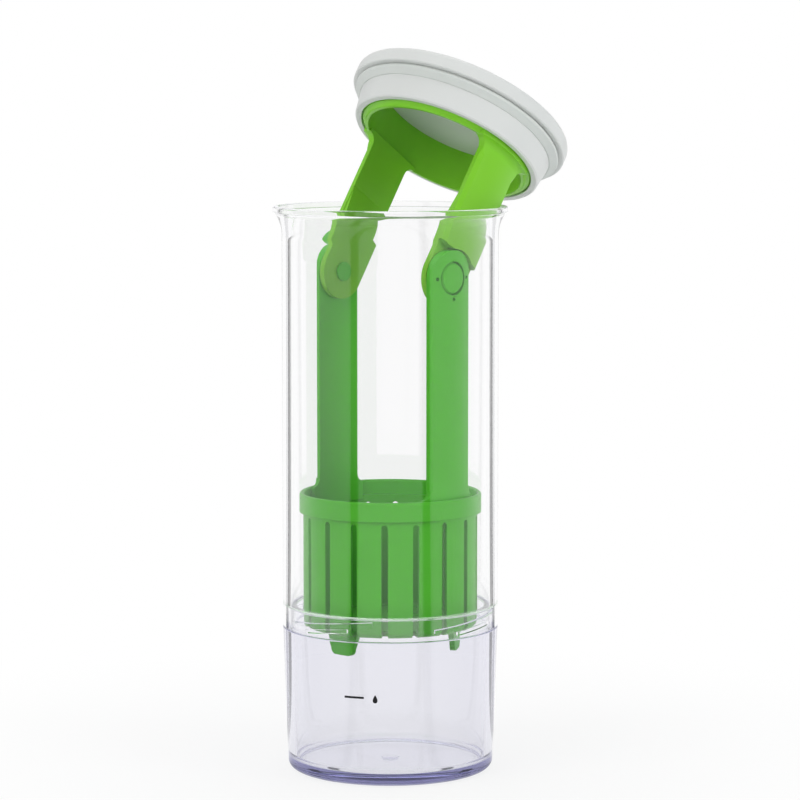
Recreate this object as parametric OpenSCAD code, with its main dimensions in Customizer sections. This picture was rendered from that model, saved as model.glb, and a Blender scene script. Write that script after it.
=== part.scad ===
// Herb keeper: a clear water reservoir, a clear tube that twists down onto it, and a
// lift-out basket whose two uprights carry a tilting lid.
// The origin is on the tube's axis at the surface it stands on, +Z is up, and the
// lid's pivot lies along Y. It is drawn in use: the basket is drawn up and the lid
// leans over towards +X until its arms meet the mouth of the tube.

/* [Tube] */
// Outer radius of the straight wall
tube_r = 52; // [48:0.5:58]
// Thickness of the straight wall
tube_wall = 3.8; // [3:0.1:4.5]
// Height from the bottom edge to the top of the rim
tube_h = 202.4; // [195:0.2:215]
// Height of the flare under the rim's lip
flare_h = 10.5; // [8:0.5:13]
// Radius of the flare's outer curve
flare_r = 17; // [14:0.5:22]
// Radius of the flare's inner curve
flare_in_r = 19; // [17.5:0.5:21]
// Height of the lip round the rim
lip_h = 3; // [2:0.1:4]
// Thickness of the lip
lip_t = 3; // [2.4:0.1:3.6]
// Reach of the lip outside the straight wall
lip_reach = 4.4; // [4:0.1:5]
// Rounding of the lip's edges
lip_round = 0.9; // [0.4:0.1:1.2]

/* [Reservoir] */
// Height from the table to the shoulder under the tube
reservoir_h = 69.3; // [64:0.1:80]
// Draft of the outer wall, in degrees
outer_draft = 2.1; // [0.5:0.1:2.5]
// Draft of the cavity, in degrees
cavity_draft = 1.1; // [0.5:0.1:1.5]
// Radius of the outer bottom corner
base_round = 4; // [2:0.2:5]
// Thickness of the floor
floor_t = 5.5; // [4:0.1:8]
// Radius of the corner between cavity and floor
cavity_round = 3; // [1.5:0.5:5]
// Width of the flat ring that the base stands on
foot_ring_w = 2.2; // [1:0.1:4]
// Depth of the hollow under the base
foot_hollow = 1.2; // [0.6:0.1:2]
// Radius of the moulding pad in the middle of the base
gate_r = 4; // [2:0.5:8]

/* [Twist joint] */
// Wall of the tube round the neck of the reservoir
socket_wall = 1.5; // [1.2:0.1:2]
// Height of the reservoir's neck
neck_h = 10.1; // [9.5:0.1:14]
// Wall of the neck
neck_wall = 2; // [1.6:0.1:3]
// How far a lug stands out
lug_depth = 1.2; // [0.8:0.1:1.6]
// Height of a lug at its root
lug_h = 2.4; // [1.8:0.1:2.6]
// Play between a lug on the neck and the one under it
lug_play = 0.1; // [0.05:0.05:0.2]
// Number of lugs round the joint
lug_count = 4; // [3:1:4]
// Arc of a lug on the neck, in degrees
neck_lug_arc = 56; // [40:1:58]
// Arc of a lug in the tube, in degrees
tube_lug_arc = 28; // [16:1:30]
// Rise of the tube in one full turn
lead = 30; // [26:0.5:32]
// Clearance between neck and tube, all round
twist_clear = 0.3; // [0.2:0.05:0.5]
// Thickness of the silicone gasket on top of the neck
gasket_t = 0.9; // [0.6:0.1:1.5]
// Clearance above and below the gasket
gasket_clear = 0.15; // [0.1:0.05:0.3]

/* [Basket] */
// Gap between the basket's collar and the bore of the tube
basket_gap = 4.3; // [2.5:0.1:6]
// Height of the collar
collar_h = 9.2; // [6:0.2:12]
// Thickness of the collar
collar_t = 2.2; // [2:0.1:3]
// Step from the collar in to the slotted wall
collar_step = 1.85; // [1.2:0.05:2]
// Thickness of the slotted wall
basket_wall = 2; // [1.6:0.1:2.4]
// Height from the underside of the floor to the top of the collar
basket_h = 65.2; // [50:0.2:80]
// Thickness of the basket's floor
basket_floor = 2.2; // [1.6:0.1:3]
// Rounding between the basket's wall and floor
basket_round = 3; // [2:0.5:5]
// Rounding inside, between the basket's wall and floor
basket_in_round = 2; // [1:0.5:4]
// Number of slots round the wall
slot_count = 18; // [10:2:22]
// Width of a slot
slot_w = 3; // [2:0.1:4]
// Solid wall left between a slot's top and the collar
slot_top_gap = 1.6; // [0.8:0.2:6]
// Length of a slot along the floor, in from the outer wall
slot_floor = 7.6; // [5:0.2:9]
// Radius of the floor's drain holes
drain_r = 3.2; // [2:0.2:4]
// Radius of the circle of drain holes
drain_circle = 18; // [12:0.5:22]
// Number of drain holes on the circle
drain_count = 9; // [5:1:10]
// Height of a foot under the floor
foot_h = 10.4; // [6:0.2:14]
// Width of a foot at the floor
foot_top_w = 20; // [14:0.5:24]
// Width of a foot at its tip
foot_tip_w = 13.8; // [10:0.2:15]
// Rounding of a foot's tip
foot_round = 3; // [2:0.5:5]
// Thickness of a foot
foot_t = 2.5; // [1.8:0.1:3.5]
// Radius from the axis to the middle of a foot
foot_circle = 31.7; // [27:0.1:34]

/* [Uprights] */
// Step from the slotted wall in to an upright
upright_inset = 1.55; // [1:0.05:2]
// Half the width of an upright, and the radius of its round head
upright_w = 13.3; // [11:0.1:14]
// Thickness of an upright at its middle
upright_t = 5; // [4.6:0.1:6]
// Height of the pivot above the underside of the basket's floor
pivot_rise = 169.6; // [160:0.2:180]
// Chamfer along an upright's outer edges
upright_edge = 0.8; // [0.4:0.1:1.2]
// Fillet where an upright grows out of the collar
upright_fillet = 4; // [2:0.5:6]

/* [Pivot] */
// Radius of the pin's shank
pin_r = 4; // [3:0.1:5]
// Running clearance of the lid's arms on the pins
pin_clear = 0.05; // [0.03:0.01:0.08]
// Radius of the pin's round head
button_r = 7.3; // [6:0.1:8]
// Groove between the pin's head and the upright
button_groove = 0.7; // [0.3:0.05:0.8]
// Depth of the pocket that holds the pin's head
button_pocket = 2.2; // [1.4:0.1:2.8]
// How far the pin's head lies below the upright's face
button_sink = 0.3; // [0.1:0.1:0.8]
// Chamfer round the pin's head
button_edge = 0.8; // [0.3:0.1:1]
// Radius of the collar behind the arm that keeps the pin in
keeper_r = 4.6; // [4.3:0.1:5.5]
// Thickness of that collar
keeper_t = 0.8; // [0.5:0.1:1.5]
// Gap between that collar and the arm
keeper_gap = 0.2; // [0.1:0.05:0.4]
// Radius of a click dimple
dimple_r = 0.9; // [0.6:0.1:1.2]
// Distance of a click dimple from the pivot
dimple_circle = 9.8; // [9.4:0.1:11]
// Depth of a click dimple
dimple_depth = 1.6; // [0.5:0.1:2]

/* [Lid frame] */
// Gap between an arm and the upright that it turns on
arm_gap = 0.3; // [0.2:0.05:0.6]
// Thickness of the arm's inner tongue
tongue_t = 3; // [2.4:0.1:4]
// How far an arm and its tongue run into each other
tongue_lap = 0.5; // [0.3:0.1:1]
// Half the width of an arm
arm_w = 13.6; // [11:0.1:14.5]
// Chamfer along an arm's outer edges
arm_edge = 1.2; // [0.6:0.1:1.6]
// Gap between the arm's lower edge and the upright's round head
head_gap = 0.7; // [0.4:0.1:1.2]
// Height of the arm's flat lower edge above the pivot
arm_foot = 12.3; // [11:0.1:13]
// Height above the pivot at which the tongue starts to thin out
tongue_full = 24; // [16:1:30]
// Height over which the tongue thins out
tongue_fade = 20; // [8:1:26]
// Fillet between an arm's side and the ring
arm_fillet = 5; // [2:0.5:7]
// How far the ring shows below the cap's skirt
ring_show = 1.8; // [1:0.1:5]
// Width of the ring's flat lower edge, inside the hollow round it
ring_band = 1.4; // [1:0.1:1.6]
// Step in the ring where it leaves the cap's skirt
ring_step = 0.8; // [0.4:0.1:1.2]
// How far the arms reach into the ring
ring_overlap = 0.5; // [0.3:0.1:1]

/* [Lid cap] */
// Clearance between the cap's skirt and the bore of the tube
skirt_clear = 0.4; // [0.3:0.05:0.8]
// Thickness of the skirt at its lower edge
skirt_t = 3.4; // [2.6:0.1:4]
// Depth of the skirt below the flange
skirt_h = 15.9; // [12:0.1:20]
// How much wider the skirt is at its top
skirt_taper = 1.6; // [0.8:0.1:1.8]
// Thickness of the flange
flange_t = 7.4; // [5:0.1:10]
// How far the flange stops short of the tube's lip
flange_inset = 1.1; // [0.5:0.1:2]
// Rounding of the flange's top edge
flange_round = 2.4; // [1:0.1:3.5]
// Rounding of the flange's lower edge
flange_under = 0.9; // [0.4:0.1:1.2]
// Thickness of the cap's top
top_t = 3.4; // [2.4:0.1:5]
// Width of the raised border round the cap's top
border_w = 5.5; // [3:0.5:10]
// Depth of the dish in the cap's top
dish = 1; // [0.5:0.1:1.5]

/* [Lid seal] */
// Height of the seal round the skirt
seal_h = 4.7; // [3.4:0.1:5]
// Clearance between the seal and the mouth of the tube
seal_clear = 0.3; // [0.2:0.05:0.6]
// Thickness of the seal at its lower edge
seal_t = 0.6; // [0.4:0.1:0.8]
// Height of the flat between the seal's bead and the flange
bead_drop = 0.5; // [0.3:0.1:1]
// Radius of the seal's bead
bead_r = 1.1; // [0.7:0.1:1.3]

/* [Fill mark] */
// Height of the line above the table
mark_z = 43; // [30:0.5:52]
// Length of the line
mark_len = 9.6; // [5:0.2:20]
// Thickness of the line as it is read
mark_h = 1; // [0.5:0.1:1.5]
// Direction that the line faces, in degrees round from +X
mark_azimuth = -156; // [-170:1:-100]
// Thickness of the print
ink_t = 0.12; // [0.08:0.02:0.3]

/* [Position] */
// How far the basket is drawn up from its seat on the reservoir's floor
lift = 53.4; // [53:0.1:60]
// Clearance wherever one piece comes to rest on another
rest_gap = 0.3; // [0.2:0.05:0.5]

/* [Hidden] */
$fn = 96;

clear_plastic = [0.86, 0.90, 0.92, 0.35];
silicone = [0.90, 0.92, 0.93, 0.6];
leaf_green = [0.36, 0.72, 0.23];
soft_white = [0.90, 0.92, 0.91];
ink = [0.12, 0.12, 0.13];

eps = 0.01;
over = 1;

// Tube
bore_r = tube_r - tube_wall;
tube_z = reservoir_h + rest_gap;
rim_z = tube_z + tube_h;
lip_r = tube_r + lip_reach;
mouth_r = lip_r - lip_t;
flare_z = rim_z - lip_h - flare_h;
mouth_grow = mouth_r - bore_r;
flare_in_rise = sqrt(pow(flare_in_r, 2) - pow(flare_in_r - mouth_grow, 2));
flare_in_z = rim_z - lip_h - flare_in_rise;

// Twist joint
socket_r = tube_r - socket_wall;
neck_lug_r = socket_r - twist_clear;
neck_r = neck_lug_r - lug_depth;
tube_lug_r = neck_r + twist_clear;
cavity_r = neck_r - neck_wall;
neck_z = reservoir_h + neck_h;
ledge_z = neck_z + gasket_t + 2 * gasket_clear;
lug_tilt = atan(lead / (2 * PI * neck_lug_r));
lug_drop = lug_h + twist_clear + lug_play;
neck_lug_z = (reservoir_h + neck_z + lug_drop) / 2;
lug_azimuth = 6;

// Basket, from its seat upwards
basket_z = floor_t + rest_gap + foot_h + lift;
collar_r = bore_r - basket_gap;
wall_r = collar_r - collar_step;
upright_r = wall_r - upright_inset;
collar_top = basket_z + basket_h;
collar_z = collar_top - collar_h;
slot_pitch = 360 / slot_count;
foot_azimuths = [180, 60, -60];

// Pivot and uprights
pivot_z = basket_z + pivot_rise;
upright_face = upright_r - upright_t;
pocket_face = sqrt(pow(upright_r, 2) - pow(button_r, 2)) - button_pocket;
button_face = upright_r - button_sink;

// Lid, as heights above the pivot along the lid's own axis
tongue_face = upright_face - arm_gap;
tongue_back = tongue_face - tongue_t;
arm_back = tongue_face - tongue_lap;
seat_l = rim_z + rest_gap - (pivot_z - lift);
skirt_l = seat_l - skirt_h;
ring_l = skirt_l - ring_show;
cap_l = seat_l + flange_t;
under_l = cap_l - dish - top_t;
skirt_r = bore_r - skirt_clear;
skirt_top_r = skirt_r + skirt_taper;
skirt_in_r = skirt_r - skirt_t;
ring_r = skirt_in_r - ring_step;
ring_in_r = upright_r - ring_overlap;
cove_r = ring_r - upright_r;
flange_r = lip_r - flange_inset;

// The lid leans until an arm's edge comes within rest_gap of the mouth. Each pair is
// a corner of the arm's section; mouth_at gives the mouth's radius at a height.
arm_corners = [
    [arm_w, side_y(arm_w) - arm_edge],
    [arm_w - arm_edge, side_y(arm_w - arm_edge)]
];
function mouth_at(z) =
    z > rim_z - lip_h ? mouth_r :
    z < flare_in_z ? bore_r :
    bore_r + flare_in_r - sqrt(pow(flare_in_r, 2) - pow(z - flare_in_z, 2));
function lean_at(z, corner) =
    let (reach = sqrt(pow(mouth_at(z) - rest_gap, 2) - pow(corner[1], 2)))
    let (up = z - pivot_z)
    atan2(reach, up) - asin(corner[0] / norm([reach, up]));
lid_lean = min([
    for (corner = arm_corners)
    for (i = [0 : 40])
    lean_at(flare_in_z + (rim_z - lip_round - flare_in_z) * i / 40, corner)
]);

// A rectangle with its four corners rounded
module round_rect(x, y, w, h, r) {
    translate([x + r, y]) square([w - 2 * r, h]);
    translate([x, y + r]) square([w, h - 2 * r]);
    for (cx = [x + r, x + w - r])
        for (cy = [y + r, y + h - r])
            translate([cx, cy]) circle(r = r);
}

// A round body's half section: floor at z0, wall through (r_at, z_at), corner rounded
module tapered_half(z0, z1, r_at, z_at, draft, round_r) {
    r0 = r_at - (z_at - z0) * tan(draft);
    centre_r = r0 + round_r * tan(draft) - round_r / cos(draft);
    polygon([
        [0, z0],
        [centre_r, z0],
        [centre_r + round_r * cos(draft), z0 + round_r * (1 - sin(draft))],
        [r_at + (z1 - z_at) * tan(draft), z1],
        [0, z1]
    ]);
    translate([centre_r, z0 + round_r]) circle(r = round_r);
}

// One lug of the twist joint: an arc of a turn, tilted to the thread's slope
module lug(r_root, r_crest, arc) {
    crest = lug_h * 0.3;
    rotate([lug_tilt, 0, 0])
        rotate([0, 0, -arc / 2])
            rotate_extrude(angle = arc)
                polygon([
                    [r_root, -lug_h / 2],
                    [r_crest, -crest],
                    [r_crest, crest],
                    [r_root, lug_h / 2]
                ]);
}

module lug_ring(z, r_root, r_crest, arc) {
    for (i = [0 : lug_count - 1])
        rotate([0, 0, lug_azimuth + i * 360 / lug_count])
            translate([0, 0, z])
                lug(r_root, r_crest, arc);
}

// Outer radius of the reservoir at a height
function reservoir_r(z) = tube_r - (reservoir_h - z) * tan(outer_draft);

module reservoir() {
    hollow_r = reservoir_r(0) - base_round - foot_ring_w;
    color(clear_plastic) {
        difference() {
            rotate_extrude() {
                difference() {
                    union() {
                        tapered_half(0, reservoir_h, tube_r, reservoir_h, outer_draft, base_round);
                        square([neck_r, neck_z]);
                    }
                    tapered_half(floor_t, neck_z + over, cavity_r, neck_z,
                                 cavity_draft, cavity_round);
                }
            }
            difference() {
                translate([0, 0, -over])
                    cylinder(r = hollow_r, h = over + foot_hollow);
                translate([0, 0, -2 * over])
                    cylinder(r = gate_r, h = 4 * over + foot_hollow);
            }
        }
        lug_ring(neck_lug_z, neck_r - neck_wall / 2, neck_lug_r, neck_lug_arc);
    }
}

// A printed line on the front left of the reservoir: a skin of ink on its tapered wall
module fill_mark() {
    arc = mark_len / reservoir_r(mark_z) * 180 / PI;
    low = mark_z - mark_h / 2;
    high = mark_z + mark_h / 2;
    color(ink)
        rotate([0, 0, mark_azimuth - arc / 2])
            rotate_extrude(angle = arc)
                polygon([
                    [reservoir_r(low), low],
                    [reservoir_r(low) + ink_t, low],
                    [reservoir_r(high) + ink_t, high],
                    [reservoir_r(high), high]
                ]);
}

module reservoir_gasket() {
    color(silicone)
        translate([0, 0, neck_z + gasket_clear])
            difference() {
                cylinder(r = neck_r, h = gasket_t);
                translate([0, 0, -over])
                    cylinder(r = cavity_r + twist_clear, h = gasket_t + 2 * over);
            }
}

module tube() {
    color(clear_plastic) {
        rotate_extrude()
            tube_section();
        lug_ring(neck_lug_z - lug_drop, socket_r + socket_wall / 2, tube_lug_r, tube_lug_arc);
    }
}

// Half section of the tube's wall
module tube_section() {
    difference() {
        union() {
            translate([0, tube_z]) square([tube_r, tube_h - lip_round]);
            difference() {
                translate([bore_r, flare_z]) square([lip_r - lip_round - bore_r, flare_h + lip_round]);
                translate([tube_r + flare_r, flare_z]) circle(r = flare_r);
            }
            round_rect(mouth_r - lip_round, rim_z - lip_h, lip_t + lip_round, lip_h, lip_round);
        }
        translate([0, tube_z - over]) square([socket_r, ledge_z - tube_z + over]);
        translate([0, tube_z]) square([bore_r, tube_h + over]);
        translate([0, rim_z - lip_h - eps]) square([mouth_r, lip_h + over]);
        difference() {
            translate([bore_r - eps, flare_in_z]) square([mouth_grow + eps, flare_in_rise]);
            translate([bore_r + flare_in_r, flare_in_z]) circle(r = flare_in_r);
        }
    }
    difference() {
        translate([mouth_r - eps, rim_z - lip_round - over]) square([lip_round, over + lip_round]);
        translate([mouth_r - over, rim_z - lip_round]) square([lip_t, over + lip_round]);
    }
}

module basket() {
    color(leaf_green) {
        difference() {
            rotate_extrude()
                basket_section();
            slots();
            drains();
        }
        for (azimuth = foot_azimuths)
            rotate([0, 0, azimuth])
                foot();
        upright();
        mirror([0, 1, 0]) upright();
    }
}

// Half section of the basket's floor, wall and collar
module basket_section() {
    lip = collar_t / 2;
    difference() {
        union() {
            tapered_half(basket_z, collar_top - lip, wall_r, collar_z, 0, basket_round);
            translate([0, collar_z]) square([collar_r, collar_h - lip]);
        }
        tapered_half(basket_z + basket_floor, collar_z, wall_r - basket_wall, collar_z, 0,
                     basket_in_round);
        translate([0, collar_z - eps]) square([wall_r - basket_wall, basket_wall]);
        translate([0, collar_z + basket_wall - 2 * eps]) square([collar_r - collar_t, collar_h]);
    }
    translate([collar_r - lip, collar_top - lip]) circle(r = lip);
}

// The slots run down the wall, round its bottom corner and into the floor
module slots() {
    slot_top = collar_z - slot_top_gap - slot_w / 2;
    slot_in = wall_r - slot_floor;
    for (i = [0 : slot_count - 1])
        rotate([0, 0, 90 + (i + 0.5) * slot_pitch]) {
            translate([slot_in, -slot_w / 2, basket_z - over])
                cube([slot_floor + over, slot_w, basket_floor + basket_round + over]);
            translate([wall_r - 2 * basket_wall, -slot_w / 2, basket_z])
                cube([3 * basket_wall, slot_w, slot_top - basket_z]);
            translate([wall_r - 2 * basket_wall, 0, slot_top])
                rotate([0, 90, 0])
                    cylinder(d = slot_w, h = 3 * basket_wall);
        }
}

module drains() {
    translate([0, 0, basket_z - over]) {
        cylinder(r = drain_r, h = basket_floor + 2 * over);
        for (i = [0 : drain_count - 1])
            rotate([0, 0, i * 360 / drain_count])
                translate([drain_circle, 0, 0])
                    cylinder(r = drain_r, h = basket_floor + 2 * over);
    }
}

// One foot: a plate that narrows to a tip with round corners
module foot() {
    knee = foot_tip_w / 2;
    translate([foot_circle - foot_t / 2, 0, basket_z])
        rotate([90, 0, 90])
            linear_extrude(height = foot_t) {
                polygon([
                    [-foot_top_w / 2, 0],
                    [-knee, foot_round - foot_h],
                    [foot_round - knee, -foot_h],
                    [knee - foot_round, -foot_h],
                    [knee, foot_round - foot_h],
                    [foot_top_w / 2, 0],
                    [foot_top_w / 2, basket_floor / 2],
                    [-foot_top_w / 2, basket_floor / 2]
                ]);
                for (side = [-1, 1])
                    translate([side * (knee - foot_round), foot_round - foot_h])
                        circle(r = foot_round);
            }
}

// How far from the axis the curved face of an upright or arm is, half_w to its side
function side_y(half_w) = sqrt(pow(upright_r, 2) - pow(half_w, 2));

// Plan section of an upright or arm on the -Y side: a segment with a flat back at
// y = -face, and its outer edges chamfered where edge is over 0
module strip_section(half_w, face, edge) {
    edge_y = side_y(half_w) - edge;
    run = upright_r + over - edge_y;
    intersection() {
        circle(r = upright_r);
        polygon([
            [-half_w, -face],
            [-half_w, -edge_y],
            [run - half_w, -edge_y - run],
            [half_w - run, -edge_y - run],
            [half_w, -edge_y],
            [half_w, -face]
        ]);
    }
}

// The upright on the -Y side, with its round head, its pin hole and its dimples
module upright() {
    root_w = upright_w + upright_fillet;
    difference() {
        union() {
            intersection() {
                translate([0, 0, collar_z])
                    linear_extrude(height = pivot_z + upright_w - collar_z)
                        strip_section(upright_w, upright_face, upright_edge);
                union() {
                    translate([-upright_w, -upright_r - over, collar_z])
                        cube([2 * upright_w, upright_t + 2 * over, pivot_z - collar_z]);
                    along_pivot(upright_face - over, upright_r + over, upright_w);
                }
            }
            intersection() {
                translate([0, 0, collar_z])
                    linear_extrude(height = collar_h + upright_fillet)
                        strip_section(root_w, upright_face, 0);
                root_outline(root_w);
            }
            intersection() {
                translate([0, 0, collar_z])
                    cylinder(r = collar_r - collar_t / 2, h = collar_h - collar_t / 2);
                translate([-root_w, -collar_r, collar_z])
                    cube([2 * root_w, collar_r - upright_face, collar_h]);
            }
        }
        along_pivot(upright_face - over, upright_r + over, pin_r + pin_clear);
        along_pivot(pocket_face, upright_r + over, button_r + button_groove);
        for (angle = [0, 90, 180])
            translate([dimple_circle * cos(angle), 0, -dimple_circle * sin(angle)])
                along_pivot(dimple_floor(angle), upright_r + over, dimple_r);
    }
}

// Where a dimple bottoms out, measured in from the curved face above it
function dimple_floor(angle) =
    sqrt(pow(upright_r, 2) - pow(dimple_circle * cos(angle), 2)) - dimple_depth;

// A cylinder round the pivot's axis, on the -Y side between two distances from the axis
module along_pivot(y0, y1, r) {
    translate([0, -y0, pivot_z])
        rotate([90, 0, 0])
            cylinder(r = r, h = y1 - y0);
}

// The upright's root: as wide as its fillets at the collar's top, then narrowing
module root_outline(root_w) {
    translate([0, -upright_face + over, 0])
        rotate([90, 0, 0])
            linear_extrude(height = upright_t + 2 * over)
                difference() {
                    translate([-root_w, collar_z])
                        square([2 * root_w, collar_h + upright_fillet]);
                    for (side = [-1, 1])
                        translate([side * root_w, collar_top + upright_fillet])
                            circle(r = upright_fillet);
                }
}

// A pivot pin: button head in the upright's pocket, shank, and keeper behind the arm
module pivot_pin() {
    keeper_face = tongue_back - keeper_gap;
    color(leaf_green) {
        along_pivot(pocket_face, button_face - button_edge, button_r);
        translate([0, button_edge - button_face, pivot_z])
            rotate([90, 0, 0])
                cylinder(r1 = button_r, r2 = button_r - button_edge, h = button_edge);
        along_pivot(keeper_face, pocket_face + eps, pin_r);
        along_pivot(keeper_face - keeper_t, keeper_face + eps, keeper_r);
    }
}

module front_pivot_pin() {
    pivot_pin();
}

module rear_pivot_pin() {
    mirror([0, 1, 0]) pivot_pin();
}

// Puts a piece that is drawn upright above the pivot onto the leaning lid
module on_lid() {
    translate([0, 0, pivot_z])
        rotate([0, lid_lean, 0])
            children();
}

module lid_frame() {
    color(leaf_green)
        on_lid() {
            rotate_extrude()
                ring_section();
            arm();
            mirror([0, 1, 0]) arm();
        }
}

// Half section of the ring, hollowed out round the outside of its lower edge
module ring_section() {
    difference() {
        polygon([
            [ring_in_r, ring_l],
            [ring_r, ring_l],
            [ring_r, skirt_l + ring_step],
            [skirt_in_r, skirt_l + 2 * ring_step],
            [skirt_in_r, under_l],
            [ring_in_r, under_l]
        ]);
        translate([ring_r, ring_l]) circle(r = ring_r - ring_in_r - ring_band);
    }
}

// The arm on the -Y side: an outer strip that stops at the upright's head, and an
// inner tongue that runs on behind the head and turns on the pin
module arm() {
    difference() {
        union() {
            intersection() {
                union() {
                    linear_extrude(height = skirt_l)
                        strip_section(arm_w + arm_fillet, arm_back, 0);
                    cove();
                }
                arm_outline();
            }
            tongue();
        }
        arm_chamfer();
        mirror([1, 0, 0]) arm_chamfer();
        rotate([90, 0, 0])
            cylinder(r = pin_r + pin_clear, h = upright_r);
        translate([0, -tongue_face, 0])
            rotate([90, 0, 0])
                cylinder(r = upright_w + head_gap, h = upright_r);
    }
}

// The arm as seen from the side, widening in two fillets into the ring
module arm_outline() {
    half_w = arm_w + arm_fillet;
    translate([0, over - arm_back, 0])
        rotate([90, 0, 0])
            linear_extrude(height = ring_r + 2 * over - arm_back) {
                translate([-arm_w, arm_foot]) square([2 * arm_w, skirt_l - arm_foot]);
                difference() {
                    translate([-half_w, ring_l - arm_fillet])
                        square([2 * half_w, skirt_l + ring_step - ring_l + arm_fillet]);
                    for (side = [-1, 1])
                        translate([side * half_w, ring_l - arm_fillet])
                            circle(r = arm_fillet);
                }
            }
}

// What a chamfer takes off the arm's edge: it runs out where the hollow curve starts
module arm_chamfer() {
    edge_y = side_y(arm_w) - arm_edge;
    run_out = ring_l - cove_r;
    reach = upright_r - edge_y + over;
    translate([arm_w, -edge_y, 0])
        rotate([90, 0, -45])
            linear_extrude(height = 2 * reach, center = true)
                polygon([
                    [0, arm_foot - over],
                    [0, run_out - 4 * arm_edge],
                    [arm_edge, run_out],
                    [reach, run_out],
                    [reach, arm_foot - over]
                ]);
}

// A hollow curve from the arm's outer face out to the ring's lower edge
module cove() {
    rotate_extrude()
        difference() {
            translate([upright_r - ring_overlap, ring_l - cove_r])
                square([cove_r + ring_overlap, cove_r + ring_show + ring_step / 2]);
            translate([ring_r, ring_l - cove_r])
                circle(r = cove_r);
        }
}

// The tongue: a plate round the pin that thins out up the back of the arm
module tongue() {
    intersection() {
        translate([-upright_w, 0, 0])
            rotate([90, 0, 90])
                linear_extrude(height = 2 * upright_w)
                    polygon([
                        [-tongue_back, -upright_w],
                        [-tongue_back, tongue_full],
                        [-tongue_face, tongue_full + tongue_fade],
                        [-tongue_face, -upright_w]
                    ]);
        union() {
            rotate([90, 0, 0])
                cylinder(r = upright_w, h = upright_r);
            translate([-upright_w, -upright_r, 0])
                cube([2 * upright_w, upright_r, tongue_full + tongue_fade]);
        }
    }
}

module lid_cap() {
    dish_r = flange_r - border_w;
    color(soft_white)
        on_lid()
            rotate_extrude()
                difference() {
                    union() {
                        polygon([
                            [0, skirt_l],
                            [skirt_r - flange_under, skirt_l],
                            [skirt_r, skirt_l + flange_under],
                            [skirt_top_r, seat_l - seal_h],
                            [skirt_top_r, seat_l + flange_under],
                            [0, seat_l + flange_under]
                        ]);
                        flange_section();
                    }
                    translate([0, skirt_l - over])
                        square([skirt_in_r, under_l - skirt_l + over]);
                    translate([0, cap_l - dish])
                        square([dish_r - dish, dish + over]);
                    difference() {
                        translate([dish_r - dish - eps, cap_l - dish])
                            square([dish + eps, dish + over]);
                        translate([dish_r, cap_l - dish])
                            circle(r = dish);
                    }
                }
}

// Half section of the flange: a small round below its edge and a large one above
module flange_section() {
    square_top = cap_l - flange_round;
    translate([0, seat_l]) square([flange_r - flange_under, flange_t - flange_round]);
    translate([0, seat_l + flange_under])
        square([flange_r, square_top - seat_l - flange_under]);
    translate([0, square_top - eps]) square([flange_r - flange_round, flange_round + eps]);
    translate([flange_r - flange_under, seat_l + flange_under]) circle(r = flange_under);
    translate([flange_r - flange_round, square_top]) circle(r = flange_round);
}

// A soft ring round the skirt, with a round bead that meets the mouth of the tube
module lid_seal() {
    bead_reach = mouth_r - seal_clear;
    bead_l = seat_l - bead_drop - bead_r;
    color(silicone)
        on_lid()
            rotate_extrude() {
                polygon([
                    [skirt_top_r, seat_l - seal_h],
                    [skirt_top_r + seal_t, seat_l - seal_h],
                    [bead_reach - bead_r, bead_l - bead_r],
                    [bead_reach - bead_r, seat_l],
                    [skirt_top_r, seat_l]
                ]);
                translate([bead_reach - bead_r, bead_l])
                    circle(r = bead_r);
            }
}

reservoir();
fill_mark();
reservoir_gasket();
tube();
basket();
front_pivot_pin();
rear_pivot_pin();
lid_frame();
lid_cap();
lid_seal();
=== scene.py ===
import math

import bmesh
import bpy
from mathutils import Matrix, Vector


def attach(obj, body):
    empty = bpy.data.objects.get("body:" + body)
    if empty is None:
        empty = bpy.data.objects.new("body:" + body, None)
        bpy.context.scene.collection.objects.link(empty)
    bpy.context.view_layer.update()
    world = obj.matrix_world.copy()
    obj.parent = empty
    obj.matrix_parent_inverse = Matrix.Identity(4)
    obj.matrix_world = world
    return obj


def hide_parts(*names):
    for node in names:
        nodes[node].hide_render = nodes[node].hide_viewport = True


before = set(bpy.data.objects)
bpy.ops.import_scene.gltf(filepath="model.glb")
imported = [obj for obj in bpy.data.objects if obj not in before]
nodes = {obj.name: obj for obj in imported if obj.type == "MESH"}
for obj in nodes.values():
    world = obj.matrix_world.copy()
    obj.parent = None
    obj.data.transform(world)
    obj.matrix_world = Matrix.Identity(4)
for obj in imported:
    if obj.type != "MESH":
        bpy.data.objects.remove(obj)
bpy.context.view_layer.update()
scene = bpy.context.scene


# ---------------------------------------------------------------------------------
# Camera. The photograph's view: a long lens a metre and a half away, a little above
# the lid, looking down six degrees with the tube's axis just left of the middle.
# ---------------------------------------------------------------------------------
CAMERA_AZIMUTH = math.radians(46.4)
camera_back = Vector((-math.sin(CAMERA_AZIMUTH), -math.cos(CAMERA_AZIMUTH), 0))
camera_right = Vector((math.cos(CAMERA_AZIMUTH), -math.sin(CAMERA_AZIMUTH), 0))
camera_data = bpy.data.cameras.new("camera")
camera_data.sensor_width = 36
camera_data.lens = 142.055
camera_data.clip_start = 0.05
camera_data.clip_end = 30
camera = bpy.data.objects.new("camera", camera_data)
scene.collection.objects.link(camera)
CAMERA_DISTANCE, CAMERA_HEIGHT = 1.5109, 0.34151
CAMERA_YAW, CAMERA_PITCH = 0.003088, 0.1074048
camera.location = camera_back * CAMERA_DISTANCE + Vector((0, 0, CAMERA_HEIGHT))
level_view = -camera_back * math.cos(CAMERA_YAW) + camera_right * math.sin(CAMERA_YAW)
looking = level_view * math.cos(CAMERA_PITCH) - Vector((0, 0, math.sin(CAMERA_PITCH)))
camera.rotation_mode = "QUATERNION"
camera.rotation_quaternion = looking.to_track_quat("-Z", "Y")
scene.camera = camera
scene.view_settings.view_transform = "Standard"


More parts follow.
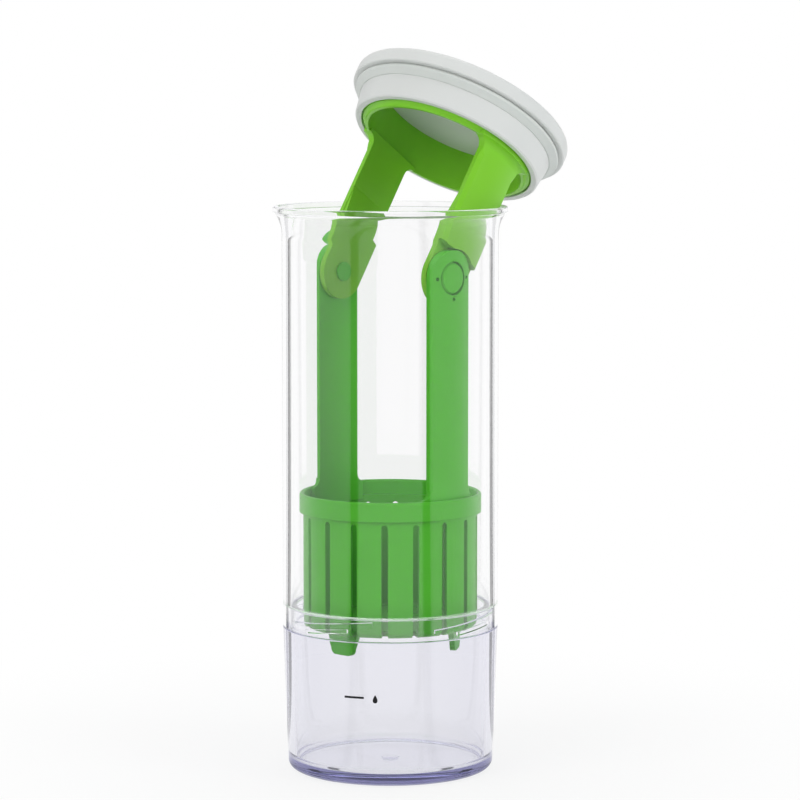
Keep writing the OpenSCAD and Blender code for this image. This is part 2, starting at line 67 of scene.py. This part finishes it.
# ---------------------------------------------------------------------------------
# Studio. A white sweep lit softly from all round, two soft boxes and an overhead one.
# Light mirrored in the walls sees white panels with narrow dark gaps between them, and
# a dark band above the sweep, which draw the thin dark lines along the clear edges.
# ---------------------------------------------------------------------------------
def link(tree, source, target):
    """Joins an output to an input in a tree."""
    tree.links.new(source, target)


def tree_math(tree, kind, *values):
    """A Math node in a tree, fed by numbers or by other nodes' outputs."""
    node = tree.nodes.new("ShaderNodeMath")
    node.operation = kind
    for value, socket in zip(values, node.inputs):
        if isinstance(value, (int, float)):
            socket.default_value = value
        else:
            link(tree, value, socket)
    return node.outputs[0]


world = bpy.data.worlds.new("studio")
scene.world = world
world.use_nodes = True
air = world.node_tree
air.nodes.clear()
air_out = air.nodes.new("ShaderNodeOutputWorld")
direction = air.nodes.new("ShaderNodeTexCoord")
split = air.nodes.new("ShaderNodeSeparateXYZ")
link(air, direction.outputs["Generated"], split.inputs[0])


def smooth_step(tree, value, low, high):
    """A soft step from nought at one value to one at the other, either way round."""
    node = tree.nodes.new("ShaderNodeMapRange")
    node.interpolation_type = "SMOOTHSTEP"
    link(tree, value, node.inputs["Value"])
    node.inputs["From Min"].default_value = low
    node.inputs["From Max"].default_value = high
    return node.outputs["Result"]


def less(tree, share, *factors):
    """One, less a share that may be a product of several."""
    for factor in factors:
        share = tree_math(tree, "MULTIPLY", share, factor)
    return tree_math(tree, "SUBTRACT", 1.0, share)


# bearings of the gaps in degrees off the view's axis, and how soft and dark they are
VIEW_AXIS, GAP_FROM, GAP_TO, GAP_SOFT, GAP_DARK = 43.6, 35.5, 43.0, 1.5, 0.85
# the front dims from one cosine of the bearing to the other, for a few bounces only
FRONT_STARTS, FRONT_ENDS, FRONT_LEVEL, FEW_BOUNCES = 0.5, -0.3, 0.3, 2.5
# the band's lower and upper edges, as the rise of a direction one unit long
BAND_BOTTOM, BAND_TOP, BAND_DARK = (0.09, 0.15), (0.205, 0.18), 0.95


def studio_level(tree, x, y, dark_above=0.0):
    """How white the studio looks towards a bearing. Light that only passed through the
    clear walls sees plain white; mirrored light sees the gaps and a dim front."""
    path = tree.nodes.new("ShaderNodeLightPath").outputs
    bearing = tree_math(tree, "ARCTAN2", y, x)
    off_axis = tree_math(tree, "SUBTRACT", bearing, math.radians(VIEW_AXIS))
    side = tree_math(tree, "ABSOLUTE", tree_math(tree, "SINE", off_axis))
    first, last, soft = (math.radians(a) for a in (GAP_FROM, GAP_TO, GAP_SOFT))
    gap = tree_math(tree, "MULTIPLY",
                    smooth_step(tree, side, math.sin(first - soft), math.sin(first)),
                    smooth_step(tree, side, math.sin(last + soft), math.sin(last)))
    dark = tree_math(tree, "MAXIMUM", tree_math(tree, "MULTIPLY", gap, GAP_DARK), dark_above)
    mirrored = tree_math(tree, "GREATER_THAN", path["Glossy Depth"], 0.5)
    few = tree_math(tree, "LESS_THAN", path["Glossy Depth"], FEW_BOUNCES)
    front = smooth_step(tree, tree_math(tree, "COSINE", off_axis), FRONT_STARTS, FRONT_ENDS)
    return tree_math(tree, "MULTIPLY", less(tree, dark, mirrored),
                     less(tree, path["Is Reflection Ray"], few, front, 1.0 - FRONT_LEVEL))


def seen_sharply(tree, path):
    """One for a mirrored or refracted ray that hasn't met a matt surface on its way."""
    sharp = tree_math(tree, "MAXIMUM", path["Is Glossy Ray"], path["Is Transmission Ray"])
    before_matt = tree_math(tree, "LESS_THAN", path["Diffuse Depth"], 0.5)
    return tree_math(tree, "MULTIPLY", sharp, before_matt)


rise = split.outputs["Z"]
dark_band = tree_math(air, "MULTIPLY", smooth_step(air, rise, *BAND_BOTTOM),
                      smooth_step(air, rise, *BAND_TOP))
seen_level = studio_level(air, split.outputs["X"], split.outputs["Y"],
                          tree_math(air, "MULTIPLY", dark_band, BAND_DARK))
air_path = air.nodes.new("ShaderNodeLightPath").outputs
seen = air.nodes.new("ShaderNodeBackground")
seen.inputs["Color"].default_value = (0.985, 0.985, 1.0, 1)
link(air, seen_level, seen.inputs["Strength"])
lit = air.nodes.new("ShaderNodeBackground")
lit.inputs["Color"].default_value = (0.97, 0.985, 1.0, 1)
lit.inputs["Strength"].default_value = 0.5
plain = air.nodes.new("ShaderNodeBackground")
plain.inputs["Color"].default_value = (1, 1, 1, 1)


def mixed(tree, share, shader, other):
    """Mixes a shader with another one, by the other's share."""
    mix = tree.nodes.new("ShaderNodeMixShader")
    link(tree, share, mix.inputs[0])
    link(tree, shader.outputs[0], mix.inputs[1])
    link(tree, other.outputs[0], mix.inputs[2])
    return mix


around = mixed(air, seen_sharply(air, air_path), lit, seen)
backdrop = mixed(air, air_path["Is Camera Ray"], around, plain)
link(air, backdrop.outputs[0], air_out.inputs["Surface"])

FLOOR_REACH, FLOOR_Z = 6.0, -0.0003
floor_mesh = bpy.data.meshes.new("floor")
floor_mesh.from_pydata(
    [(x * FLOOR_REACH, y * FLOOR_REACH, FLOOR_Z) for x, y in ((-1, -1), (1, -1), (1, 1), (-1, 1))],
    [], [(0, 1, 2, 3)])
floor = bpy.data.objects.new("floor", floor_mesh)
scene.collection.objects.link(floor)
floor_paint = bpy.data.materials.new("white_sweep")
floor_paint.use_nodes = True
sweep = floor_paint.node_tree
sweep.nodes.clear()
sweep_out = sweep.nodes.new("ShaderNodeOutputMaterial")
sweep_diffuse = sweep.nodes.new("ShaderNodeBsdfDiffuse")
sweep_diffuse.inputs["Color"].default_value = (0.93, 0.93, 0.93, 1)
sweep_glow = sweep.nodes.new("ShaderNodeEmission")
sweep_place = sweep.nodes.new("ShaderNodeTexCoord")
sweep_reach = sweep.nodes.new("ShaderNodeVectorMath")
sweep_reach.operation = "LENGTH"
link(sweep, sweep_place.outputs["Object"], sweep_reach.inputs[0])
# the glow is weaker near the base, where the shadow falls, and full further out
SHADOW_FROM, SHADOW_TO, GLOW_AT_BASE = 0.06, 0.34, 0.78
sweep_fade = sweep.nodes.new("ShaderNodeMapRange")
sweep_fade.interpolation_type = "SMOOTHSTEP"
sweep_fade.inputs["From Min"].default_value = SHADOW_FROM
sweep_fade.inputs["From Max"].default_value = SHADOW_TO
sweep_fade.inputs["To Min"].default_value = GLOW_AT_BASE
link(sweep, sweep_reach.outputs["Value"], sweep_fade.inputs["Value"])
sweep_path = sweep.nodes.new("ShaderNodeLightPath").outputs
sweep_seen = tree_math(sweep, "MAXIMUM", sweep_path["Is Camera Ray"],
                       seen_sharply(sweep, sweep_path))
sweep_share = tree_math(sweep, "MULTIPLY", sweep_seen, sweep_fade.outputs["Result"])
sweep_spot = sweep.nodes.new("ShaderNodeSeparateXYZ")
link(sweep, sweep_place.outputs["Object"], sweep_spot.inputs[0])
link(sweep, studio_level(sweep, sweep_spot.outputs["X"], sweep_spot.outputs["Y"]),
     sweep_glow.inputs["Strength"])
link(sweep, mixed(sweep, sweep_share, sweep_diffuse, sweep_glow).outputs[0],
     sweep_out.inputs["Surface"])
floor_mesh.materials.append(floor_paint)


def soft_box(name, place, watts, width, height, tint, mirrored):
    """A lamp aimed at the tube; only a mirrored one shows in gloss and clear plastic."""
    lamp = bpy.data.lights.new(name, "AREA")
    lamp.shape = "RECTANGLE"
    lamp.size = width
    lamp.size_y = height
    lamp.energy = watts
    lamp.color = tint
    holder = bpy.data.objects.new(name, lamp)
    scene.collection.objects.link(holder)
    holder.location = place
    holder.rotation_mode = "QUATERNION"
    aim = Vector((0, 0, 0.18)) - Vector(place)
    holder.rotation_quaternion = aim.to_track_quat("-Z", "Y")
    holder.visible_glossy = mirrored
    holder.visible_transmission = mirrored


soft_box("left_box", camera_back * 0.95 - camera_right * 1.05 + Vector((0, 0, 0.85)),
         10.0, 0.9, 1.1, (1.0, 0.995, 0.98), mirrored=False)
soft_box("right_box", camera_back * 0.75 + camera_right * 1.25 + Vector((0, 0, 0.55)),
         9.5, 0.6, 1.2, (0.98, 0.99, 1.0), mirrored=False)
soft_box("overhead_box", camera_back * -0.25 + Vector((0, 0, 1.5)),
         4.5, 1.1, 1.1, (1.0, 1.0, 1.0), mirrored=True)


# ---------------------------------------------------------------------------------
# Tube. A clear moulded sleeve with a flared mouth and a thick lip; its thin socket
# covers the reservoir's neck, and four lugs inside it run under the neck's own lugs.
# One revolved wall with every edge broken, joined to its lugs.
# ---------------------------------------------------------------------------------
MM = 0.001


def broken_edges(corners, steps=4):
    """A closed outline in millimetres, each corner (r, z, radius) rounded."""
    outline = []
    for i, (r, z, radius) in enumerate(corners):
        if radius == 0:
            outline.append((r, z))
            continue
        here = Vector((r, z))
        before = (Vector(corners[i - 1][:2]) - here).normalized()
        after = (Vector(corners[(i + 1) % len(corners)][:2]) - here).normalized()
        half = before.angle(after) / 2
        inset = radius / math.tan(half)
        centre = here + (before + after).normalized() * (radius / math.sin(half))
        start = here + before * inset - centre
        end = here + after * inset - centre
        turn = start.angle_signed(end)
        for k in range(steps + 1):
            a = turn * k / steps
            c, s = math.cos(a), math.sin(a)
            outline.append((centre.x + start.x * c + start.y * s,
                            centre.y - start.x * s + start.y * c))
    return outline


def arc_points(centre, radius, first, last, steps):
    """Points of an arc between two heights, on the side of the centre nearer the axis."""
    points = []
    for k in range(steps + 1):
        z = first + (last - first) * k / steps
        points.append((centre[0] - math.sqrt(radius ** 2 - (z - centre[1]) ** 2), z, 0))
    return points


def turned(name, outline, around=256, on_axis=False):
    """A mesh turned about Z from an outline in millimetres; on_axis closes it at poles."""
    work = bmesh.new()
    rings = []
    for r, z in outline:
        if on_axis and r < 1e-6:
            rings.append([work.verts.new((0, 0, z * MM))])
            continue
        rings.append([work.verts.new((r * MM * math.cos(2 * math.pi * k / around),
                                      r * MM * math.sin(2 * math.pi * k / around), z * MM))
                      for k in range(around)])
    pairs = list(zip(rings, rings[1:]))
    if not on_axis:
        pairs.append((rings[-1], rings[0]))
    for a, b in pairs:
        for k in range(around):
            n = (k + 1) % around
            corners = [a[k % len(a)], a[n % len(a)], b[n % len(b)], b[k % len(b)]]
            work.faces.new(list(dict.fromkeys(corners)))
    bmesh.ops.recalc_face_normals(work, faces=work.faces)
    mesh = bpy.data.meshes.new(name)
    work.to_mesh(mesh)
    work.free()
    piece = bpy.data.objects.new(name, mesh)
    scene.collection.objects.link(piece)
    return piece


def smooth_below(piece, degrees):
    """Smooth shading that keeps long faces true, with sharper edges than the angle crisp."""
    piece.data.shade_smooth()
    piece.data.set_sharp_from_angle(angle=math.radians(degrees))
    true_faces = piece.modifiers.new("true_faces", "WEIGHTED_NORMAL")
    true_faces.mode = "FACE_AREA"
    true_faces.keep_sharp = True
    graph = bpy.context.evaluated_depsgraph_get()
    piece.data = bpy.data.meshes.new_from_object(piece.evaluated_get(graph))
    piece.modifiers.remove(true_faces)


def lug_tree():
    """Ribs of a twist joint: each an arc of a turn, thinner at its crest and tilted to
    the thread's slope, set round the axis at equal steps and fused to the wall."""
    tree = bpy.data.node_groups.new("twist_lugs", "GeometryNodeTree")
    face = tree.interface
    face.new_socket("Wall", in_out="INPUT", socket_type="NodeSocketGeometry")
    for label in ("Inner Radius", "Outer Radius", "Inner Height", "Outer Height", "Level",
                  "Arc", "Azimuth", "Slope"):
        face.new_socket(label, in_out="INPUT", socket_type="NodeSocketFloat")
    face.new_socket("Count", in_out="INPUT", socket_type="NodeSocketInt")
    face.new_socket("Plastic", in_out="INPUT", socket_type="NodeSocketMaterial")
    face.new_socket("Wall", in_out="OUTPUT", socket_type="NodeSocketGeometry")
    given = tree.nodes.new("NodeGroupInput").outputs
    made = tree.nodes.new("NodeGroupOutput")

    def between(low, high, share):
        return tree_math(tree, "MULTIPLY_ADD", tree_math(tree, "SUBTRACT", high, low), share, low)

    bar = tree.nodes.new("GeometryNodeMeshCube")
    bar.inputs["Vertices X"].default_value = 25
    corner = tree.nodes.new("ShaderNodeSeparateXYZ")
    link(tree, tree.nodes.new("GeometryNodeInputPosition").outputs[0], corner.inputs[0])
    outward = tree_math(tree, "ADD", corner.outputs["Y"], 0.5)
    radius = between(given["Inner Radius"], given["Outer Radius"], outward)
    height = between(given["Inner Height"], given["Outer Height"], outward)
    backwards = tree_math(tree, "MULTIPLY", given["Arc"], -1.0)
    angle = tree_math(tree, "MULTIPLY", corner.outputs["X"], backwards)
    curved = tree.nodes.new("ShaderNodeCombineXYZ")
    for axis, kind in (("X", "COSINE"), ("Y", "SINE")):
        link(tree, tree_math(tree, "MULTIPLY", radius, tree_math(tree, kind, angle)),
             curved.inputs[axis])
    link(tree, tree_math(tree, "MULTIPLY", height, corner.outputs["Z"]), curved.inputs["Z"])
    lug = tree.nodes.new("GeometryNodeSetPosition")
    link(tree, bar.outputs["Mesh"], lug.inputs["Geometry"])
    link(tree, curved.outputs[0], lug.inputs["Position"])

    level = tree.nodes.new("ShaderNodeCombineXYZ")
    link(tree, given["Level"], level.inputs["Z"])
    places = tree.nodes.new("GeometryNodePoints")
    link(tree, given["Count"], places.inputs["Count"])
    link(tree, level.outputs[0], places.inputs["Position"])
    step = tree_math(tree, "DIVIDE", 2 * math.pi, given["Count"])
    index = tree.nodes.new("GeometryNodeInputIndex").outputs[0]
    turn = tree.nodes.new("ShaderNodeCombineXYZ")
    link(tree, given["Slope"], turn.inputs["X"])
    link(tree, tree_math(tree, "MULTIPLY_ADD", index, step, given["Azimuth"]), turn.inputs["Z"])
    ring = tree.nodes.new("GeometryNodeInstanceOnPoints")
    link(tree, places.outputs[0], ring.inputs["Points"])
    link(tree, lug.outputs[0], ring.inputs["Instance"])
    link(tree, turn.outputs[0], ring.inputs["Rotation"])
    lugs = tree.nodes.new("GeometryNodeRealizeInstances")
    link(tree, ring.outputs[0], lugs.inputs["Geometry"])

    fuse = tree.nodes.new("GeometryNodeMeshBoolean")
    fuse.operation = "UNION"
    fuse.solver = "EXACT"
    link(tree, given["Wall"], fuse.inputs["Mesh 2"])
    link(tree, lugs.outputs[0], fuse.inputs["Mesh 2"])
    finish = tree.nodes.new("GeometryNodeSetMaterial")
    link(tree, fuse.outputs["Mesh"], finish.inputs["Geometry"])
    link(tree, given["Plastic"], finish.inputs["Material"])
    link(tree, finish.outputs[0], made.inputs["Wall"])
    return tree


twist_lugs = lug_tree()


def add_lugs(wall, plastic_of_wall, inner, outer, level, arc):
    """Runs the tree of lugs on a wall; inner and outer are each (radius, height)."""
    given = {"Inner Radius": inner[0] * MM, "Outer Radius": outer[0] * MM,
             "Inner Height": inner[1] * MM, "Outer Height": outer[1] * MM,
             "Level": level * MM, "Arc": math.radians(arc), "Azimuth": math.radians(LUG_AZIMUTH),
             "Slope": math.atan(LEAD / (2 * math.pi * PITCH_R)), "Count": LUG_COUNT,
             "Plastic": plastic_of_wall}
    ribs = wall.modifiers.new("lugs", "NODES")
    ribs.node_group = twist_lugs
    for item in twist_lugs.interface.items_tree:
        if item.in_out == "INPUT" and item.name in given:
            ribs[item.identifier] = given[item.name]
    graph = bpy.context.evaluated_depsgraph_get()
    wall.data = bpy.data.meshes.new_from_object(wall.evaluated_get(graph))
    wall.modifiers.remove(ribs)


LEAD, PITCH_R, LUG_AZIMUTH, LUG_COUNT, LUG_H, CREST_H = 30.0, 50.2, 6.0, 4, 2.4, 1.44
TUBE_R, BORE_R, SOCKET_R = 52.0, 48.2, 50.5
TUBE_LOW, LEDGE, RIM = 69.6, 80.6, 272.0
FLARE_OUT_R, FLARE_OUT_LOW = 17.0, 258.5
FLARE_IN_R, FLARE_IN_LOW = 19.0, 255.94
LIP_OUT_R, LIP_IN_R, LIP_LOW = 56.4, 53.4, 269.0
flare_out = arc_points((TUBE_R + FLARE_OUT_R, FLARE_OUT_LOW), FLARE_OUT_R, FLARE_OUT_LOW, 268.7, 12)
flare_in = arc_points((BORE_R + FLARE_IN_R, FLARE_IN_LOW), FLARE_IN_R, 268.9, FLARE_IN_LOW, 14)
tube_outline = broken_edges(
    [(SOCKET_R, TUBE_LOW, 0.2), (TUBE_R, TUBE_LOW, 0.4)]
    + flare_out
    + [(55.62, LIP_LOW, 0), (LIP_OUT_R, LIP_LOW, 0.7), (LIP_OUT_R, RIM, 0.9),
       (LIP_IN_R, RIM, 0.9), (LIP_IN_R, 269.4, 0)]
    + flare_in
    + [(BORE_R, LEDGE, 0.25), (SOCKET_R, LEDGE, 0.3)])
tube = turned("tube_wall", tube_outline)


def noise_group():
    """Moulded finish: fine texture and slow waviness, as a height and a gloss change."""
    group = bpy.data.node_groups.new("moulded_finish", "ShaderNodeTree")
    face = group.interface
    for label, usual in (("Grain Scale", 900.0), ("Wave Scale", 30.0), ("Wave Share", 0.5),
                         ("Roughness", 0.3), ("Roughness Change", 0.1)):
        socket = face.new_socket(label, in_out="INPUT", socket_type="NodeSocketFloat")
        socket.default_value = usual
    for label in ("Height", "Roughness", "Mottle"):
        face.new_socket(label, in_out="OUTPUT", socket_type="NodeSocketFloat")
    given = group.nodes.new("NodeGroupInput").outputs
    made = group.nodes.new("NodeGroupOutput").inputs
    place = group.nodes.new("ShaderNodeTexCoord")

    def noise(scale, detail):
        node = group.nodes.new("ShaderNodeTexNoise")
        node.inputs["Detail"].default_value = detail
        link(group, place.outputs["Object"], node.inputs["Vector"])
        link(group, scale, node.inputs["Scale"])
        return node.outputs["Fac"]

    grain = noise(given["Grain Scale"], 3.0)
    wave = noise(given["Wave Scale"], 1.0)
    height = group.nodes.new("ShaderNodeMix")
    link(group, given["Wave Share"], height.inputs["Factor"])
    link(group, grain, height.inputs["A"])
    link(group, wave, height.inputs["B"])
    link(group, height.outputs["Result"], made["Height"])
    centred = tree_math(group, "SUBTRACT", wave, 0.5)
    link(group, tree_math(group, "MULTIPLY_ADD", centred, given["Roughness Change"],
                          given["Roughness"]), made["Roughness"])
    link(group, wave, made["Mottle"])
    return group


moulded_finish = noise_group()


def plastic(name, colour, grain, wave, wave_share, rough, rough_change, bump, edge=0.0):
    """A Principled plastic with the moulded finish; edge is how far, in millimetres, its
    sharp edges catch the light as rounded ones. Returns the material and its nodes."""
    material = bpy.data.materials.new(name)
    material.use_nodes = True
    tree = material.node_tree
    shader = tree.nodes["Principled BSDF"]
    shader.inputs["Base Color"].default_value = (*colour, 1)
    finish = tree.nodes.new("ShaderNodeGroup")
    finish.node_tree = moulded_finish
    finish.inputs["Grain Scale"].default_value = grain
    finish.inputs["Wave Scale"].default_value = wave
    finish.inputs["Wave Share"].default_value = wave_share
    finish.inputs["Roughness"].default_value = rough
    finish.inputs["Roughness Change"].default_value = rough_change
    link(tree, finish.outputs["Roughness"], shader.inputs["Roughness"])
    relief = tree.nodes.new("ShaderNodeBump")
    relief.inputs["Strength"].default_value = bump
    relief.inputs["Distance"].default_value = 0.0002
    link(tree, finish.outputs["Height"], relief.inputs["Height"])
    link(tree, relief.outputs["Normal"], shader.inputs["Normal"])
    if edge:
        rounded = tree.nodes.new("ShaderNodeBevel")
        rounded.samples = 4
        rounded.inputs["Radius"].default_value = edge * MM
        link(tree, rounded.outputs["Normal"], relief.inputs["Normal"])
    return material, tree, shader, finish


def clear_plastic(name, tint, bump, depth=0.0):
    """Clear styrene plastic, a little violet in its depth. It refracts, and lets the
    lamps' light through. Light that has bounced inside the wall more than a few times
    comes straight out, so that the thick rim doesn't turn black."""
    material, tree, shader, _ = plastic(name, tint, 60.0, 14.0, 0.8, 0.012, 0.012, bump)
    shader.inputs["Transmission Weight"].default_value = 1.0
    shader.inputs["IOR"].default_value = 1.57
    out = tree.nodes["Material Output"]
    through = tree.nodes.new("ShaderNodeBsdfTransparent")
    through.inputs["Color"].default_value = (0.98, 0.982, 0.985, 1)
    rays = tree.nodes.new("ShaderNodeLightPath").outputs
    long_way = tree_math(tree, "GREATER_THAN", rays["Glossy Depth"], FEW_BOUNCES)
    passes = tree_math(tree, "MAXIMUM", rays["Is Shadow Ray"], long_way)
    link(tree, mixed(tree, passes, shader, through).outputs[0], out.inputs["Surface"])
    if depth:
        body = tree.nodes.new("ShaderNodeVolumeAbsorption")
        body.inputs["Color"].default_value = (0.25, 0.24, 0.56, 1)
        body.inputs["Density"].default_value = depth
        link(tree, body.outputs[0], out.inputs["Volume"])
    return material


add_lugs(tube, clear_plastic("clear_tube", (1.0, 1.0, 1.0), 0.03, 2.0),
         inner=(49.3, CREST_H), outer=(51.25, LUG_H), level=72.95, arc=28.0)
smooth_below(tube, 38)
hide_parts("tube")
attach(tube, "sleeve")


# ---------------------------------------------------------------------------------
# Reservoir. A clear moulded cup with a thick floor, standing on a narrow ring round
# a shallow hollow, with a gate pad in its middle; its neck carries four lugs.
# One turned wall, a little more violet where it is thick, joined to its lugs.
# ---------------------------------------------------------------------------------
RESERVOIR_R, SHOULDER, NECK_R, NECK_TOP = 52.0, 69.3, 49.0, 79.4
PAD_R, HOLLOW_R, HOLLOW_DEPTH = 4.0, 43.259, 1.2
BASE_ROUND, CAVITY_ROUND, FLOOR_TOP = 4, 3, 5.5


def corner_arc(r, z, radius, degrees):
    """Points of a rounded corner about (r, z), by their angle outwards from straight down."""
    return [(r + radius * math.sin(math.radians(a)), z - radius * math.cos(math.radians(a)), 0)
            for a in degrees]


reservoir_corners = (
    [(0, 0, 0), (PAD_R, 0, 0.3), (PAD_R, HOLLOW_DEPTH, 0.3), (HOLLOW_R, HOLLOW_DEPTH, 0.5),
     (HOLLOW_R, 0, 0.3)]
    + corner_arc(45.603, BASE_ROUND, BASE_ROUND, range(0, 88, 8))
    + [(RESERVOIR_R, SHOULDER, 0.35), (NECK_R, SHOULDER, 0.3), (NECK_R, NECK_TOP, 0.3),
       (47.0, NECK_TOP, 0.3)]
    + corner_arc(42.638, FLOOR_TOP + CAVITY_ROUND, CAVITY_ROUND, range(88, -1, -8))
    + [(0, FLOOR_TOP, 0)])
reservoir = turned("reservoir_cup", broken_edges(reservoir_corners), on_axis=True)
add_lugs(reservoir, clear_plastic("clear_reservoir", (0.985, 0.985, 0.99), 0.03, 20.0),
         inner=(48.0, LUG_H), outer=(50.2, CREST_H), level=75.75, arc=56.0)
smooth_below(reservoir, 38)
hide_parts("reservoir")
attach(reservoir, "base")


# ---------------------------------------------------------------------------------
# Fill mark. A short printed line on the front left of the reservoir, with a small
# printed drop beside it: ink skins that follow the tapered wall.
# ---------------------------------------------------------------------------------
WALL_DRAFT, INK_FROM, INK_TO = 2.1, 0.01, 0.12
DROP_AZIMUTH, DROP_Z, DROP_R, DROP_POINTS = -144.5, 42.6, 1.5, 40
ink = plastic("printed_ink", (0.012, 0.012, 0.014), 1500.0, 300.0, 0.5, 0.5, 0.1, 0.1)[0]


def repaint(node, material):
    """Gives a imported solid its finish, and leaves its mesh as it is."""
    nodes[node].data.materials.clear()
    nodes[node].data.materials.append(material)


def wall_r(z):
    """The reservoir's outer radius at a height, both in millimetres."""
    return RESERVOIR_R - (SHOULDER - z) * math.tan(math.radians(WALL_DRAFT))


repaint("fill_mark", ink)
work = bmesh.new()
drop_outline = []
for k in range(DROP_POINTS):
    a = 2 * math.pi * k / DROP_POINTS
    swell = math.sin(a / 2) ** 1.3
    drop_outline.append((DROP_R * 1.05 * math.sin(a) * swell, DROP_R * 1.35 * math.cos(a)))
skins = []
for lift in (INK_FROM, INK_TO):
    skin = []
    for across, up in drop_outline:
        z = DROP_Z + up
        r = wall_r(z) + lift
        azimuth = math.radians(DROP_AZIMUTH) + across / r
        skin.append(work.verts.new(
            (r * MM * math.cos(azimuth), r * MM * math.sin(azimuth), z * MM)))
    skins.append(skin)
inner, outer = skins
for k in range(DROP_POINTS):
    n = (k + 1) % DROP_POINTS
    work.faces.new([inner[k], inner[n], outer[n], outer[k]])
work.faces.new(inner[::-1])
work.faces.new(outer)
bmesh.ops.recalc_face_normals(work, faces=work.faces)
drop_mesh = bpy.data.meshes.new("drop_mark")
work.to_mesh(drop_mesh)
work.free()
drop_mark = bpy.data.objects.new("drop_mark", drop_mesh)
scene.collection.objects.link(drop_mark)
drop_mesh.materials.append(ink)
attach(drop_mark, "base")


# ---------------------------------------------------------------------------------
# Gasket. A flat ring of clear silicone between the neck's top and the tube's ledge.
# ---------------------------------------------------------------------------------
gasket = turned("gasket_ring", broken_edges(
    [(45.3, 79.55, 0.3), (49.0, 79.55, 0.3), (49.0, 80.45, 0.3), (45.3, 80.45, 0.3)]))
smooth_below(gasket, 50)
gasket.data.materials.append(clear_plastic("clear_silicone", (0.93, 0.94, 0.95), 0.05))
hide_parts("reservoir_gasket")
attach(gasket, "seal")


# ---------------------------------------------------------------------------------
# Basket, with its collar, slotted wall, feet and two uprights: one green moulding
# with a satin skin, whose sharp edges catch the light as slightly rounded ones.
# ---------------------------------------------------------------------------------
def green_plastic(name, colour, rough):
    """Satin green plastic that lets a little light in, slightly mottled in colour."""
    material, tree, shader, finish = plastic(
        name, colour, 1400.0, 45.0, 0.35, rough, 0.08, 0.12, edge=0.35)
    shader.inputs["IOR"].default_value = 1.49
    shader.inputs["Specular IOR Level"].default_value = 0.35
    shader.inputs["Subsurface Weight"].default_value = 0.12
    shader.inputs["Subsurface Radius"].default_value = (0.004, 0.006, 0.002)
    shader.inputs["Subsurface Scale"].default_value = 0.3
    deep = tree.nodes.new("ShaderNodeMix")
    deep.data_type = "RGBA"
    link(tree, finish.outputs["Mottle"], deep.inputs["Factor"])
    deep.inputs["A"].default_value = (*[c * 0.95 for c in colour], 1)
    deep.inputs["B"].default_value = (*[c * 1.05 for c in colour], 1)
    link(tree, deep.outputs["Result"], shader.inputs["Base Color"])
    return material


basket_green = green_plastic("green_basket", (0.085, 0.54, 0.016), 0.36)
repaint("basket", basket_green)


# ---------------------------------------------------------------------------------
# Pivot pins. Green push-in pins with flat round heads, one on each side of the lid,
# in the basket's own plastic. Each joins an upright to one of the lid's arms.
# ---------------------------------------------------------------------------------
for pin in ("front_pivot_pin", "rear_pivot_pin"):
    repaint(pin, basket_green)


# ---------------------------------------------------------------------------------
# Lid frame. The green ring under the cap and its two arms: one moulding that turns on
# the pins, in a yellower, lighter green than the basket: partly its own tint and partly
# painted light for the warmer, brighter light that falls on the arms.
# ---------------------------------------------------------------------------------
# the frame's base colour is partly painted light: lighter and yellower than the basket's
repaint("lid_frame", green_plastic("green_lid_frame", (0.21, 0.58, 0.028), 0.33))


# ---------------------------------------------------------------------------------
# Lid cap. A white satin moulding: a tapered skirt that enters the tube, a round
# flange that rests on its lip, and a shallow dish in the top. Turned in one piece.
# ---------------------------------------------------------------------------------
PIVOT, LID_LEAN = 239.2, 33.5468
on_lid = Matrix.Translation((0, 0, PIVOT * MM)) @ Matrix.Rotation(math.radians(LID_LEAN), 4, "Y")
dish_curve = [(49.8 - math.sin(math.radians(a)), 93.9 - (1 - math.cos(math.radians(a))), 0)
              for a in range(15, 91, 15)]
cap = turned("lid_cap_shell", broken_edges(
    [(0, 89.5, 0), (44.4, 89.5, 0.6), (44.4, 70.6, 0.4), (47.15, 70.6, 0.5), (47.8, 71.4, 0.3),
     (49.4, 81.8, 0), (49.4, 86.5, 0.2), (55.3, 86.5, 0.9), (55.3, 93.9, 2.4),
     (49.8, 93.9, 0)]
    + dish_curve
    + [(0, 92.9, 0)], steps=7), on_axis=True)
cap.data.transform(on_lid)
smooth_below(cap, 40)
cap_white, _, white_shader, _ = plastic(
    "white_cap", (0.66, 0.675, 0.66), 1600.0, 35.0, 0.3, 0.42, 0.08, 0.1)
white_shader.inputs["Subsurface Weight"].default_value = 0.08
white_shader.inputs["Subsurface Radius"].default_value = (0.004, 0.004, 0.004)
white_shader.inputs["Subsurface Scale"].default_value = 0.3
cap.data.materials.append(cap_white)
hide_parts("lid_cap")
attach(cap, "lid")


# ---------------------------------------------------------------------------------
# Lid seal. A soft white ring round the top of the skirt, with a round bead that
# meets the tube's mouth. Matt silicone, turned, fitted under the flange.
# ---------------------------------------------------------------------------------
bead = [(52.0 + 1.1 * math.cos(math.radians(a)), 84.9 + 1.1 * math.sin(math.radians(a)), 0)
        for a in range(-70, 91, 10)]
seal = turned("lid_seal_ring", broken_edges(
    [(49.42, 81.85, 0), (50.0, 81.85, 0.25)] + bead + [(52.0, 86.45, 0.15), (49.42, 86.45, 0)]))
seal.data.transform(on_lid)
smooth_below(seal, 45)
seal.data.materials.append(plastic(
    "white_silicone", (0.62, 0.65, 0.625), 2200.0, 60.0, 0.3, 0.6, 0.06, 0.12)[0])
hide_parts("lid_seal")
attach(seal, "lid")
